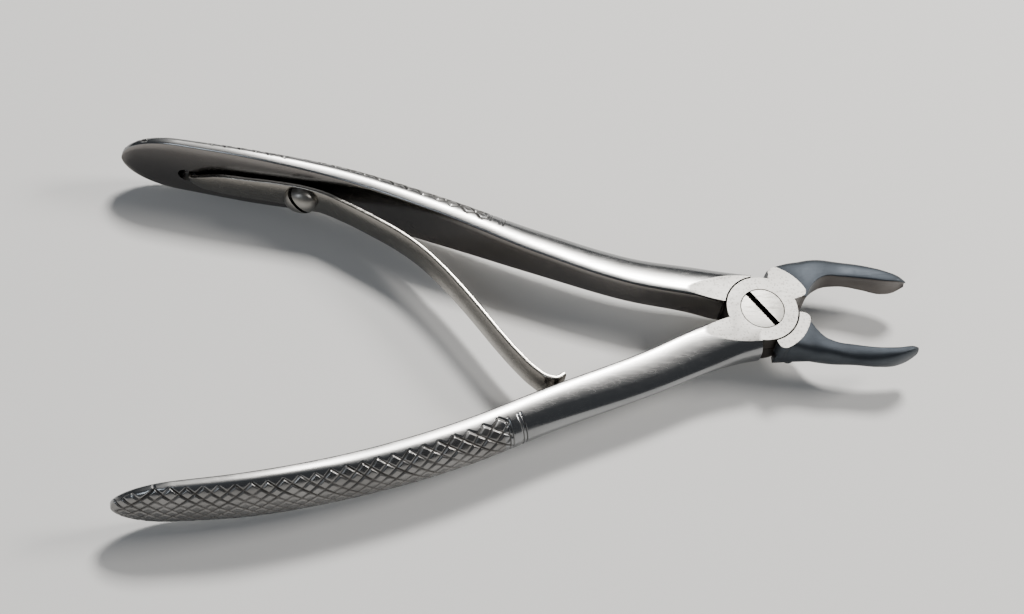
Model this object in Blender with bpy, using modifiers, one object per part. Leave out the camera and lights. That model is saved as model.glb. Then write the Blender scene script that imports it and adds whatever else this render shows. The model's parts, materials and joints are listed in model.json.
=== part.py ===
"""Children's tooth-extracting forceps: two forged halves, a screw lap joint and a leaf spring.

Frame: the origin is on the pivot axis, on the back face of the joint. +Z points out of the
front face, where the slotted head of the pivot screw shows. +X runs from the handles to the
beaks, halfway between the two handles. The pose is the open one that the spring holds.

Each half is one forging. It starts as a handle on one side, passes through the joint as a
round lap of half the joint's thickness, and ends as the beak of the other side. The two halves
are the same forging, one of them turned half a turn about X, with small differences of hand
bending in the curves of their handles and beaks. Sizes below are in millimetres.
"""

import math

import bmesh
import bpy
import numpy as np
from mathutils import Matrix, Vector

MM = 0.001

# Joint, measured from its middle plane and from the pivot axis.
JOINT_HALF_THICKNESS = 3.0
LAP_RADIUS = 5.7
LAP_CLEARANCE = 0.3
SHOULDER_RADIUS = 7.75
EAR_RADIUS = 8.3
PLAIN_EAR_ANGLES = (16.0, 73.0)
SPRING_EAR_ANGLES = (16.0, 60.0)
PLAIN_CRESCENT_ANGLES = (16.0, 60.0)
SPRING_CRESCENT_ANGLES = (7.0, 76.0)

# Pivot screw.
SCREW_HEAD_RADIUS = 3.5
SCREW_HEAD_HEIGHT = 1.6
SCREW_SHANK_RADIUS = 2.0
SCREW_CLEARANCE = 0.3
SCREW_SLOT_WIDTH = 1.0
SCREW_SLOT_DEPTH = 0.8
SCREW_SLOT_ANGLE = -56.0

# Handle: stations along X from the free end to the joint.
HANDLE_END_X = -99.8
HANDLE_END_ROUNDING = 9.0
HANDLE_ROOT_X = -1.8
HANDLE_X = (-100.0, -92.0, -80.0, -65.0, -50.0, -35.0, -20.0, -10.0, -6.0, 0.0)
SPRING_HANDLE_GAP = (31.2, 29.4, 26.7, 23.0, 17.2, 10.6, 4.9, 2.6, 1.5, 0.4)
PLAIN_HANDLE_GAP = (29.2, 28.4, 27.3, 24.2, 19.6, 13.2, 7.3, 2.9, 1.6, 0.4)
SPRING_HANDLE_HALF_WIDTH = (6.2, 6.2, 6.4, 5.4, 4.7, 3.4, 2.9, 3.1, 3.5, 4.2)
PLAIN_HANDLE_HALF_WIDTH = (5.2, 5.4, 5.8, 5.1, 4.6, 3.5, 2.9, 3.0, 3.3, 4.0)
HANDLE_THICKNESS = (2.2, 2.8, 3.4, 4.3, 4.9, 5.6, 6.1, 6.5, 6.5, 6.4)
HANDLE_SQUARENESS = (2.0, 2.0, 2.0, 2.0, 2.0, 2.0, 2.0, 2.1, 2.4, 2.5)
HANDLE_SIDE_BAND = (0.3, 0.3, 0.3, 0.3, 0.27, 0.2, 0.16, 0.18, 0.3, 0.3)

# Beak: stations along X from the joint to the tip.
BEAK_X = (1.9, 3.4, 5.0, 6.6, 7.5, 8.0, 8.6, 9.4, 11.0, 14.4, 18.5, 21.7, 24.0, 25.3)
PLAIN_BEAK_INNER = (5.6, 4.6, 3.3, 2.4, 2.2, 3.0, 4.1, 5.1, 6.2, 6.5, 5.9, 5.3, 5.4, 5.8)
PLAIN_BEAK_OUTER = (7.3, 8.4, 9.1, 9.6, 9.8, 9.9, 10.0, 10.1, 10.2, 9.9, 9.1, 7.9, 6.9, 6.2)
SPRING_BEAK_INNER = (5.6, 4.6, 3.3, 2.4, 2.2, 3.0, 3.8, 4.7, 5.5, 5.9, 6.6, 6.8, 6.4, 6.3)
SPRING_BEAK_OUTER = (6.8, 7.0, 7.2, 7.4, 7.5, 7.6, 7.7, 7.8, 8.1, 8.5, 8.8, 8.4, 7.5, 6.7)
BEAK_HALF_WIDTH = (4.0, 4.0, 3.8, 3.4, 3.1, 2.95, 2.85, 2.75, 2.4, 1.75, 2.0, 2.4, 1.8, 0.7)
BEAK_SQUARENESS = 2.5
BEAK_SIDE_BAND = 0.25

# Outline of a handle or beak section.
SECTION_STEPS = 18
EDGE_CHAMFER = 0.25

# Leaf spring: the middle line of the strip from its tang to its free tip.
SPRING_PATH = (
    (-88.9, 29.6), (-88.9, 28.4), (-87.6, 27.7), (-85.0, 27.05), (-80.0, 25.9), (-75.0, 24.8),
    (-71.5, 23.95), (-68.0, 22.6), (-64.5, 20.6), (-60.0, 17.7), (-56.3, 15.1), (-53.2, 12.4),
    (-50.3, 9.1), (-47.4, 5.2), (-44.6, 1.0), (-41.9, -3.2), (-39.1, -7.2), (-37.0, -9.7),
    (-35.2, -11.15), (-33.8, -11.45), (-32.5, -10.7),
)
SPRING_HALF_WIDTH = (
    0.5, 0.5, 1.3, 2.1, 2.5, 2.7,
    2.8, 2.8, 2.7, 2.7, 2.7, 2.7,
    2.7, 2.7, 2.7, 2.7, 2.7, 2.7,
    2.7, 2.7, 2.6,
)
SPRING_MIDDLE_HEIGHT = (
    -1.6, -1.6, -1.5, -1.2, -0.9, -0.6,
    -0.5, -0.3, -0.1, 0.0, 0.0, 0.0,
    0.0, 0.0, 0.0, 0.0, 0.0, 0.0,
    0.0, 0.0, 0.0,
)
SPRING_THICKNESS = 0.7
TANG_HOLE_RADIUS = 1.45
TANG_HOLE_X = -89.5
TANG_HOLE_DEPTH = 1.6
SPRING_SCREW_X = -71.2
SPRING_SCREW_HEIGHT = -0.5
SPRING_SCREW_HEAD_RADIUS = 2.65
SPRING_SCREW_HEAD_HEIGHT = 2.0
SPRING_SCREW_SHANK_RADIUS = 1.0
SPRING_SCREW_DEPTH = 2.2
SPRING_SCREW_LIFT = 1.55
SPRING_SCREW_SLOT_WIDTH = 0.6
SPRING_SCREW_SLOT_DEPTH = 0.8
SPRING_SCREW_SLOT_ANGLE = 55.0
HOLE_CLEARANCE = 0.3

ROUND_STEPS = 48


def clear_scene():
    """Remove every object, so that the script always starts from nothing."""
    for thing in list(bpy.data.objects):
        bpy.data.objects.remove(thing, do_unlink=True)


def make_material(name, colour, roughness):
    """A bare metal Principled material."""
    material = bpy.data.materials.new(name)
    material.use_nodes = True
    shader = material.node_tree.nodes["Principled BSDF"]
    shader.inputs["Base Color"].default_value = (*colour, 1.0)
    shader.inputs["Metallic"].default_value = 1.0
    shader.inputs["Roughness"].default_value = roughness
    return material


def smooth_curve(stations, values, at):
    """Cubic Hermite curve through the values, with slopes taken from their neighbours."""
    stations = np.asarray(stations, float)
    values = np.asarray(values, float)
    slopes = np.gradient(values, stations, axis=0)
    place = np.clip(np.searchsorted(stations, at, side="right") - 1, 0, len(stations) - 2)
    width = stations[place + 1] - stations[place]
    t = (at - stations[place]) / width
    if values.ndim > 1:
        t = t[:, None]
        width = width[:, None]
    start = (2 * t**3 - 3 * t**2 + 1) * values[place]
    leave = (t**3 - 2 * t**2 + t) * width * slopes[place]
    end = (3 * t**2 - 2 * t**3) * values[place + 1]
    arrive = (t**3 - t**2) * width * slopes[place + 1]
    return start + leave + end + arrive


def finish_object(mesh_object, material):
    """Give an object its only material and smooth shading by angle."""
    mesh_object.data.materials.clear()
    mesh_object.data.materials.append(material)
    mesh_object.data.shade_smooth()
    mesh_object.data.set_sharp_from_angle(angle=math.radians(35))
    return mesh_object


def loft(name, sections):
    """A closed solid through a row of closed sections, each an array of points in millimetres."""
    sections = np.asarray(sections) * MM
    rows, points = sections.shape[:2]
    index = np.arange(rows * points).reshape(rows, points)
    beside = np.roll(index, -1, axis=1)
    walls = np.stack([index[:-1], beside[:-1], beside[1:], index[1:]], axis=-1).reshape(-1, 4)
    faces = [list(map(int, wall)) for wall in walls]
    faces.append([int(i) for i in index[0][::-1]])
    faces.append([int(i) for i in index[-1]])
    mesh = bpy.data.meshes.new(name)
    mesh.from_pydata(sections.reshape(-1, 3).tolist(), [], faces)
    tidy = bmesh.new()
    tidy.from_mesh(mesh)
    bmesh.ops.recalc_face_normals(tidy, faces=tidy.faces)
    tidy.to_mesh(mesh)
    tidy.free()
    solid = bpy.data.objects.new(name, mesh)
    bpy.context.scene.collection.objects.link(solid)
    return solid


def forged_section(half_width, thickness, side_band, squareness):
    """Depth and height of a section: a flat inner face and a rounded outer one."""
    turn = np.linspace(0.0, math.pi, SECTION_STEPS)
    power = 2.0 / squareness
    height = half_width * np.sign(np.cos(turn)) * np.abs(np.cos(turn)) ** power
    band = side_band * thickness
    depth = band + (thickness - band) * np.sin(turn) ** power
    chamfer = min(EDGE_CHAMFER, 0.3 * half_width, 0.3 * thickness)
    corner_depth = [chamfer, 0.0, 0.0, chamfer]
    corner_height = [
        -half_width, chamfer - half_width,
        half_width - chamfer, half_width,
    ]
    return np.r_[depth, corner_depth], np.r_[height, corner_height]


def path_frames(path):
    """Unit side vectors of a path in the XY plane, pointing to its left."""
    along = np.gradient(path, axis=0)
    along /= np.linalg.norm(along, axis=1)[:, None]
    return np.stack([-along[:, 1], along[:, 0]], axis=1)


def handle_solid(name, gaps, widths):
    """A handle on the -Y side, from its free end to just past the joint's flank."""
    ease = 0.5 - 0.5 * np.cos(np.linspace(0.0, 0.5 * math.pi, 12))
    end_x = HANDLE_END_X + 2.0 * HANDLE_END_ROUNDING * ease
    x = np.r_[end_x, np.linspace(end_x[-1] + 3.0, HANDLE_ROOT_X, 30)]
    reach = np.clip((x - HANDLE_END_X) / HANDLE_END_ROUNDING, 0.02, 1.0)
    rounding = np.sqrt(1.0 - (1.0 - reach) ** 2)
    path = np.stack([x, -smooth_curve(HANDLE_X, gaps, x)], axis=1)
    outward = -path_frames(path)
    half_width = smooth_curve(HANDLE_X, widths, x) * rounding
    thickness = smooth_curve(HANDLE_X, HANDLE_THICKNESS, x) * (0.35 + 0.65 * rounding)
    squareness = smooth_curve(HANDLE_X, HANDLE_SQUARENESS, x)
    sections = []
    band = smooth_curve(HANDLE_X, HANDLE_SIDE_BAND, x)
    for place, side, *size in zip(path, outward, half_width, thickness, band, squareness):
        depth, height = forged_section(*size)
        flat = place[None, :] + depth[:, None] * side[None, :]
        sections.append(np.column_stack([flat, height]))
    return loft(name, sections)


def beak_solid(name, inner, outer):
    """A beak on the +Y side, from the joint's shoulder to its tip."""
    x = np.r_[np.linspace(BEAK_X[0], 7.5, 7), np.linspace(7.9, 12.0, 9), np.linspace(13.0, BEAK_X[-1], 14)]
    near = smooth_curve(BEAK_X, inner, x)
    far = smooth_curve(BEAK_X, outer, x)
    half_width = smooth_curve(BEAK_X, BEAK_HALF_WIDTH, x)
    sections = []
    for place, start, end, width in zip(x, near, far, half_width):
        depth, height = forged_section(width, end - start, BEAK_SIDE_BAND, BEAK_SQUARENESS)
        sections.append(np.column_stack([np.full_like(depth, place), start + depth, height]))
    return loft(name, sections)


def cylinder(name, radius, low, high, steps=ROUND_STEPS):
    """An upright cylinder on the pivot axis between two heights."""
    mesh = bpy.data.meshes.new(name)
    shape = bmesh.new()
    bmesh.ops.create_cone(
        shape, cap_ends=True, segments=steps, radius1=radius * MM, radius2=radius * MM,
        depth=(high - low) * MM, matrix=Matrix.Translation((0.0, 0.0, 0.5 * (low + high) * MM)),
    )
    shape.to_mesh(mesh)
    shape.free()
    solid = bpy.data.objects.new(name, mesh)
    bpy.context.scene.collection.objects.link(solid)
    return solid


def box(name, size, centre):
    """A box from its full size and centre."""
    mesh = bpy.data.meshes.new(name)
    shape = bmesh.new()
    place = Matrix.Translation(Vector(centre) * MM) @ Matrix.Diagonal((*(Vector(size) * MM), 1.0))
    bmesh.ops.create_cube(shape, size=1.0, matrix=place)
    shape.to_mesh(mesh)
    shape.free()
    solid = bpy.data.objects.new(name, mesh)
    bpy.context.scene.collection.objects.link(solid)
    return solid


def sector_plate(name, radius, angles, low, high):
    """A pie slice between two angles and two heights."""
    sweep = np.radians(np.linspace(*angles, 20))
    rim = radius * np.stack([np.cos(sweep), np.sin(sweep)], axis=1)
    outline = np.vstack([[[0.0, 0.0]], rim])
    sections = [np.column_stack([outline, np.full(len(outline), level)]) for level in (low, high)]
    return loft(name, sections)


def combine(target, tool, operation):
    """Apply one exact Boolean and remove the tool."""
    modifier = target.modifiers.new("boolean", "BOOLEAN")
    modifier.operation = operation
    modifier.solver = "EXACT"
    modifier.object = tool
    bpy.context.view_layer.update()
    result = bpy.data.meshes.new_from_object(
        target.evaluated_get(bpy.context.evaluated_depsgraph_get())
    )
    target.modifiers.clear()
    target.data = result
    bpy.data.objects.remove(tool, do_unlink=True)
    return target


def turn_over(solid):
    """Turn a solid half a turn about the X axis, in its mesh."""
    solid.data.transform(Matrix.Rotation(math.pi, 4, "X"))
    return solid


def raise_to_frame(solid):
    """Move a solid from the joint's middle plane to the frame on the joint's back face."""
    solid.data.transform(Matrix.Translation((0.0, 0.0, JOINT_HALF_THICKNESS * MM)))
    return solid


def make_half(name, handle_gaps, handle_widths, ear_angles, crescent_angles, beak_inner, beak_outer):
    """One forging with its handle at -Y, its lap on the +Z side and its beak at +Y."""
    edge = JOINT_HALF_THICKNESS
    middle_gap = 0.5 * LAP_CLEARANCE
    half = handle_solid(name, handle_gaps, handle_widths)
    combine(half, cylinder("lap", LAP_RADIUS, -edge, edge), "UNION")
    combine(half, sector_plate("ear", EAR_RADIUS, ear_angles, 0.0, edge), "UNION")
    crescent = sector_plate("crescent", SHOULDER_RADIUS, crescent_angles, -edge, 0.0)
    combine(half, crescent, "UNION")
    combine(half, beak_solid("beak", beak_inner, beak_outer), "UNION")
    recess = cylinder("recess", LAP_RADIUS + LAP_CLEARANCE, -2 * edge, middle_gap)
    combine(half, recess, "DIFFERENCE")
    joint_flats = box("flats", (60.0, 60.0, 2 * edge), (10.0, 0.0, 0.0))
    handle_room = box("handle_room", (100.0, 120.0, 40.0), (-69.0, 0.0, 0.0))
    combine(joint_flats, handle_room, "UNION")
    combine(half, joint_flats, "INTERSECT")
    return half


def screw_solid(name, head_radius, head_height, shank_radius, length, domed):
    """A slotted screw on the Z axis with the top of its head at zero height."""
    rim = head_height * 0.45 if domed else 0.12
    steps = np.linspace(0.0, 0.5 * math.pi, 7)
    if domed:
        crown = [(head_radius * math.sin(a), -rim * 1.6 * (1.0 - math.cos(a))) for a in steps]
    else:
        crown = [(0.0, 0.0), (head_radius - rim, 0.0), (head_radius, -rim)]
    outline = crown + [
        (head_radius, -head_height), (shank_radius, -head_height), (shank_radius, -length), (0.0, -length),
    ]
    mesh = bpy.data.meshes.new(name)
    points = [(radius * MM, 0.0, height * MM) for radius, height in outline]
    mesh.from_pydata(points, [(i, i + 1) for i in range(len(points) - 1)], [])
    solid = bpy.data.objects.new(name, mesh)
    bpy.context.scene.collection.objects.link(solid)
    turn = solid.modifiers.new("turn", "SCREW")
    turn.steps = ROUND_STEPS
    turn.render_steps = ROUND_STEPS
    turn.use_merge_vertices = True
    turn.merge_threshold = 0.00001
    bpy.context.view_layer.update()
    turned = bpy.data.meshes.new_from_object(
        solid.evaluated_get(bpy.context.evaluated_depsgraph_get())
    )
    solid.modifiers.clear()
    tidy = bmesh.new()
    tidy.from_mesh(turned)
    bmesh.ops.remove_doubles(tidy, verts=tidy.verts, dist=0.000001)
    bmesh.ops.recalc_face_normals(tidy, faces=tidy.faces)
    tidy.to_mesh(turned)
    tidy.free()
    solid.data = turned
    return solid


def make_pivot_screw():
    """The joint's screw: a flat slotted head in the front half, its thread in the back half."""
    length = 2 * JOINT_HALF_THICKNESS
    screw = screw_solid(
        "pivot_screw", SCREW_HEAD_RADIUS, SCREW_HEAD_HEIGHT, SCREW_SHANK_RADIUS, length, False
    )
    slot = box("slot", (SCREW_SLOT_WIDTH, 2.2 * SCREW_HEAD_RADIUS, 2 * SCREW_SLOT_DEPTH), (0.0, 0.0, 0.0))
    slot.data.transform(Matrix.Rotation(math.radians(SCREW_SLOT_ANGLE - 90.0), 4, "Z"))
    combine(screw, slot, "DIFFERENCE")
    screw.data.transform(Matrix.Translation((0.0, 0.0, JOINT_HALF_THICKNESS * MM)))
    return screw


def spring_screw_frame():
    """Where the spring screw meets the handle's inner face, with +Z out of that face."""
    x = np.array([SPRING_SCREW_X - 0.5, SPRING_SCREW_X, SPRING_SCREW_X + 0.5])
    path = np.stack([x, smooth_curve(HANDLE_X, SPRING_HANDLE_GAP, x)], axis=1)
    side = -path_frames(path)[1]
    out = Vector((side[0], side[1], 0.0))
    up = Vector((0.0, 0.0, 1.0))
    along = up.cross(out)
    turn = Matrix((along, up, out)).transposed().to_4x4()
    place = Vector((path[1][0], path[1][1], SPRING_SCREW_HEIGHT)) * MM
    return Matrix.Translation(place) @ turn


def make_spring_screw(frame):
    """The round-headed slotted screw that holds the strip to the handle."""
    length = SPRING_SCREW_LIFT + SPRING_SCREW_HEAD_HEIGHT + SPRING_SCREW_DEPTH
    screw = screw_solid(
        "spring_screw", SPRING_SCREW_HEAD_RADIUS, SPRING_SCREW_HEAD_HEIGHT,
        SPRING_SCREW_SHANK_RADIUS, length, True,
    )
    slot_size = (SPRING_SCREW_SLOT_WIDTH, 3 * SPRING_SCREW_HEAD_RADIUS, 2 * SPRING_SCREW_SLOT_DEPTH)
    slot = box("slot", slot_size, (0.0, 0.0, 0.0))
    slot.data.transform(Matrix.Rotation(math.radians(SPRING_SCREW_SLOT_ANGLE), 4, "Z"))
    combine(screw, slot, "DIFFERENCE")
    lift = SPRING_SCREW_LIFT + SPRING_SCREW_HEAD_HEIGHT
    screw.data.transform(frame @ Matrix.Translation((0.0, 0.0, lift * MM)))
    return screw


def screw_hole(frame, radius, depth, height):
    """A cutter for a round hole on the spring screw's axis."""
    cutter = cylinder("hole", radius, -depth, height, 24)
    cutter.data.transform(frame)
    return cutter


def tang_hole():
    """A cutter for the small hole that takes the spring's bent end."""
    face = float(smooth_curve(HANDLE_X, SPRING_HANDLE_GAP, np.array([TANG_HOLE_X]))[0])
    cutter = cylinder("tang_hole", TANG_HOLE_RADIUS, -TANG_HOLE_DEPTH, TANG_HOLE_DEPTH, 24)
    cutter.data.transform(Matrix.Rotation(0.5 * math.pi, 4, "X"))
    middle = Vector((TANG_HOLE_X, face, SPRING_MIDDLE_HEIGHT[0]))
    cutter.data.transform(Matrix.Translation(middle * MM))
    return cutter


def make_leaf_spring(frame):
    """The bent strip: a tang in the handle, a hole under the screw and a free curled tip."""
    points = np.asarray(SPRING_PATH)
    length = np.r_[0.0, np.cumsum(np.linalg.norm(np.diff(points, axis=0), axis=1))]
    at = np.linspace(0.0, length[-1], 90)
    path = smooth_curve(length, points, at)
    half_width = smooth_curve(length, SPRING_HALF_WIDTH, at)
    middle = smooth_curve(length, SPRING_MIDDLE_HEIGHT, at)
    side = path_frames(path) * 0.5 * SPRING_THICKNESS
    sections = []
    for place, offset, width, level in zip(path, side, half_width, middle):
        corners = [place - offset, place - offset, place + offset, place + offset]
        heights = [level - width, level + width, level + width, level - width]
        sections.append(np.column_stack([corners, heights]))
    spring = loft("leaf_spring", sections)
    hole = screw_hole(frame, SPRING_SCREW_SHANK_RADIUS + HOLE_CLEARANCE, 2.0, 4.0)
    return combine(spring, hole, "DIFFERENCE")


def build():
    """Make the five pieces of the forceps."""
    clear_scene()
    forged = make_material("forged_steel", (0.62, 0.62, 0.60), 0.28)
    spring_steel = make_material("spring_steel", (0.66, 0.64, 0.60), 0.22)
    screw_steel = make_material("screw_steel", (0.70, 0.69, 0.66), 0.32)

    edge = JOINT_HALF_THICKNESS
    front = make_half(
        "plain_handle_half", PLAIN_HANDLE_GAP, PLAIN_HANDLE_HALF_WIDTH, PLAIN_EAR_ANGLES,
        PLAIN_CRESCENT_ANGLES, PLAIN_BEAK_INNER, PLAIN_BEAK_OUTER,
    )
    head_room = cylinder("head_room", SCREW_HEAD_RADIUS + SCREW_CLEARANCE,
                         edge - SCREW_HEAD_HEIGHT - SCREW_CLEARANCE, 2 * edge)
    combine(front, head_room, "DIFFERENCE")
    combine(front, cylinder("bore", SCREW_SHANK_RADIUS + SCREW_CLEARANCE, -edge, edge), "DIFFERENCE")

    back = make_half(
        "spring_handle_half", SPRING_HANDLE_GAP, SPRING_HANDLE_HALF_WIDTH, SPRING_EAR_ANGLES,
        SPRING_CRESCENT_ANGLES, SPRING_BEAK_INNER, SPRING_BEAK_OUTER,
    )
    turn_over(back)
    thread = cylinder("thread", SCREW_SHANK_RADIUS + SCREW_CLEARANCE, -2 * edge, edge)
    combine(back, thread, "DIFFERENCE")
    frame = spring_screw_frame()
    hole_radius = SPRING_SCREW_SHANK_RADIUS + HOLE_CLEARANCE
    combine(back, screw_hole(frame, hole_radius, SPRING_SCREW_DEPTH + HOLE_CLEARANCE, 2.0), "DIFFERENCE")
    combine(back, tang_hole(), "DIFFERENCE")

    finish_object(raise_to_frame(front), forged)
    finish_object(raise_to_frame(back), forged)
    finish_object(raise_to_frame(make_pivot_screw()), screw_steel)
    finish_object(raise_to_frame(make_leaf_spring(frame)), spring_steel)
    finish_object(raise_to_frame(make_spring_screw(frame)), screw_steel)


build()
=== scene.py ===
"""Visual model of the children's extracting forceps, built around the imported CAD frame.

Lengths named below are millimetres unless a name or comment says otherwise. The shapes are
worked out about the middle plane of the joint and moved into the frame at the end.
"""

import json
import math

import bmesh
import bpy
import numpy as np
from mathutils import Matrix, Vector


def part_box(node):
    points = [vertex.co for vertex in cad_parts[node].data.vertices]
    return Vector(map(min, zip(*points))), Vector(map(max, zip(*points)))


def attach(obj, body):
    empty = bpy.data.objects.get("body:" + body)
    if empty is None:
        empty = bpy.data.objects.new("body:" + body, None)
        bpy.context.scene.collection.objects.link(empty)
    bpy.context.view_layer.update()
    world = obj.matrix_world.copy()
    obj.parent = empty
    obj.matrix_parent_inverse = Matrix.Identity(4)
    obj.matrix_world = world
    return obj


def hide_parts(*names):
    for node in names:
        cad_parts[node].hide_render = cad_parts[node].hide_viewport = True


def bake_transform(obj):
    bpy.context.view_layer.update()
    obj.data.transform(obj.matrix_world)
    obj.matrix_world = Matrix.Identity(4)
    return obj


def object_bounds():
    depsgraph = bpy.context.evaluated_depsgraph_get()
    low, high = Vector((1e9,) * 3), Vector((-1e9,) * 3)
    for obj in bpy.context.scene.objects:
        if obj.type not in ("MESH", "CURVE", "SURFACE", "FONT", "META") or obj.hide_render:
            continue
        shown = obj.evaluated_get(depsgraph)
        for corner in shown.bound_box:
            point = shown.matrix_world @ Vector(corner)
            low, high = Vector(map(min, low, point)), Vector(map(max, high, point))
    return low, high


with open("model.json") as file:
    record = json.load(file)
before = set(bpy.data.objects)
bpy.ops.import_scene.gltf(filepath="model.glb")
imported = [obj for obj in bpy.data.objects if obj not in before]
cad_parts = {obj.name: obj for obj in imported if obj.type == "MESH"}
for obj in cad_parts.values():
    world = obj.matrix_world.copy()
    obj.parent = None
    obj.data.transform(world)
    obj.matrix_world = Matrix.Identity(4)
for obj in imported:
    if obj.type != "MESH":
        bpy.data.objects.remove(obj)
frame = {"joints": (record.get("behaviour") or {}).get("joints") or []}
CAD_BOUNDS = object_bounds()

MM = 0.001
PIVOT = Vector(frame["joints"][0]["pos_m"])

# Joint, measured from its middle plane and from the pivot axis.
JOINT_HALF_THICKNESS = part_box("pivot_screw")[1].z / MM - PIVOT.z / MM
LAP_RADIUS = 5.7
LAP_GAP = 0.28
LAP_MIDDLE_GAP = 0.2
SHOULDER_RADIUS = 7.75
EAR_RADIUS = 8.3
PLAIN_EAR_ANGLES = (17.5, 73.0)
SPRING_EAR_ANGLES = (17.5, 60.0)
PLAIN_CRESCENT_ANGLES = (17.0, 61.0)
SPRING_CRESCENT_ANGLES = (7.0, 76.0)
SHOULDER_CORNER = 1.3

# Pivot screw.
SCREW_HEAD_RADIUS = 3.5
SCREW_HEAD_HEIGHT = 1.6
SCREW_SHANK_RADIUS = 2.0
SCREW_GAP = 0.07
SCREW_SLOT_WIDTH = 1.0
SCREW_SLOT_DEPTH = 0.8
SCREW_SLOT_ANGLE = -56.0

# Handle: stations along X from the free end to the joint. The margin keeps its fine surface
# inside the solid's box.
HANDLE_END_X = -99.8
HANDLE_END_ROUNDING = 9.0
HANDLE_JOIN_X = -14.0
HANDLE_ROOT_X = -1.8
HANDLE_X = (-100.0, -92.0, -80.0, -65.0, -50.0, -35.0, -20.0, -10.0, -6.0, 0.0)
SPRING_HANDLE_GAP = (31.2, 29.4, 26.7, 23.0, 17.2, 10.6, 4.9, 2.6, 1.5, 0.4)
PLAIN_HANDLE_GAP = (29.2, 28.4, 27.3, 24.2, 19.6, 13.2, 7.3, 2.9, 1.6, 0.4)
SPRING_HANDLE_HALF_WIDTH = (6.2, 6.2, 6.4, 5.4, 4.7, 3.4, 2.9, 3.1, 3.5, 4.2)
PLAIN_HANDLE_HALF_WIDTH = (5.2, 5.4, 5.8, 5.1, 4.6, 3.5, 2.9, 3.0, 3.3, 4.0)
HANDLE_THICKNESS = (2.2, 2.8, 3.4, 4.3, 4.9, 5.6, 6.1, 6.5, 6.5, 6.4)
HANDLE_SQUARENESS = (2.0, 2.0, 2.0, 2.0, 2.0, 2.0, 2.0, 2.1, 2.4, 2.5)
HANDLE_SIDE_BAND = (0.3, 0.3, 0.3, 0.3, 0.27, 0.2, 0.16, 0.18, 0.3, 0.3)
BOX_MARGIN = 0.02
OUTER_STEPS = 112
GRIP_PIECE_END_X = -38.0

# Cross-cut grip pattern on the outer face, and the two pairs of rings that end it.
DIAMOND_LENGTH = 2.25
DIAMOND_WIDTH = 2.3
GRIP_SHARE = 0.82
GROOVE_WIDTH = 0.48
GROOVE_DEPTH = 0.26
GROOVE_STRAY = 0.07
GRIP_START_X = -98.6
GRIP_END_X = -43.8
RING_X = (-43.0, -42.5, -41.0, -40.5)
RING_WIDTH = 0.26
RING_DEPTH = 0.16

# Beak: stations along X from the joint to the tip.
BEAK_X = (1.9, 3.4, 5.0, 6.6, 7.5, 8.0, 8.6, 9.4, 11.0, 14.4, 18.5, 21.7, 24.0, 25.3)
PLAIN_BEAK_INNER = (5.6, 4.6, 3.3, 2.4, 2.2, 3.0, 4.1, 5.1, 6.2, 6.5, 5.9, 5.3, 5.4, 5.8)
PLAIN_BEAK_OUTER = (7.3, 8.4, 9.1, 9.6, 9.8, 9.9, 10.0, 10.1, 10.2, 9.9, 9.1, 7.9, 6.9, 6.2)
SPRING_BEAK_INNER = (5.6, 4.6, 3.3, 2.4, 2.2, 3.0, 3.8, 4.7, 5.5, 5.9, 6.6, 6.8, 6.4, 6.3)
SPRING_BEAK_OUTER = (6.8, 7.0, 7.2, 7.4, 7.5, 7.6, 7.7, 7.8, 8.1, 8.5, 8.8, 8.4, 7.5, 6.7)
BEAK_HALF_WIDTH = (4.0, 4.0, 3.8, 3.4, 3.1, 2.95, 2.85, 2.75, 2.4, 1.75, 2.0, 2.4, 1.8, 0.7)
BEAK_SQUARENESS = 2.5
BEAK_SIDE_BAND = 0.25
SPRING_TIP_X = 24.9
NECK_LENGTH = 2.0
NECK_DROP = 0.7
NECK_SOFTNESS = 8.0
SPOON_START_X = 13.0
SPOON_DEPTH = 0.3

EDGE_ROUNDING = 0.4

# Leaf spring: the middle line of the strip from its tang to its free tip.
SPRING_PATH = (
    (-88.9, 29.6), (-88.9, 28.4), (-87.6, 27.7), (-85.0, 27.05), (-80.0, 25.9), (-75.0, 24.8),
    (-71.5, 23.95), (-68.0, 22.6), (-64.5, 20.6), (-60.0, 17.7), (-56.3, 15.1), (-53.2, 12.4),
    (-50.3, 9.1), (-47.4, 5.2), (-44.6, 1.0), (-41.9, -3.2), (-39.1, -7.2), (-37.0, -9.7),
    (-35.2, -11.15), (-33.8, -11.45), (-32.5, -10.7),
)
SPRING_HALF_WIDTH = (
    0.5, 0.5, 1.3, 2.1, 2.5, 2.7,
    2.8, 2.8, 2.7, 2.7, 2.7, 2.7,
    2.7, 2.7, 2.7, 2.7, 2.7, 2.7,
    2.7, 2.7, 2.6,
)
SPRING_MIDDLE_HEIGHT = (
    -1.6, -1.6, -1.5, -1.2, -0.9, -0.6,
    -0.5, -0.3, -0.1, 0.0, 0.0, 0.0,
    0.0, 0.0, 0.0, 0.0, 0.0, 0.0,
    0.0, 0.0, 0.0,
)
SPRING_THICKNESS = 0.7
SPRING_EDGE_ROUNDING = 0.16
TANG_HOLE_RADIUS = 1.45
TANG_HOLE_X = -89.5
TANG_HOLE_DEPTH = 1.6

# Spring screw, on the inner face of the spring's handle.
SPRING_SCREW_X = -71.2
SPRING_SCREW_HEIGHT = -0.5
SPRING_SCREW_HEAD_RADIUS = 2.65
SPRING_SCREW_HEAD_HEIGHT = 2.0
SPRING_SCREW_SHANK_RADIUS = 1.0
SPRING_SCREW_DEPTH = 2.2
SPRING_SCREW_LIFT = 1.2
SPRING_SCREW_SLOT_WIDTH = 0.6
SPRING_SCREW_SLOT_DEPTH = 0.8
SPRING_SCREW_SLOT_ANGLE = 42.0

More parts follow.
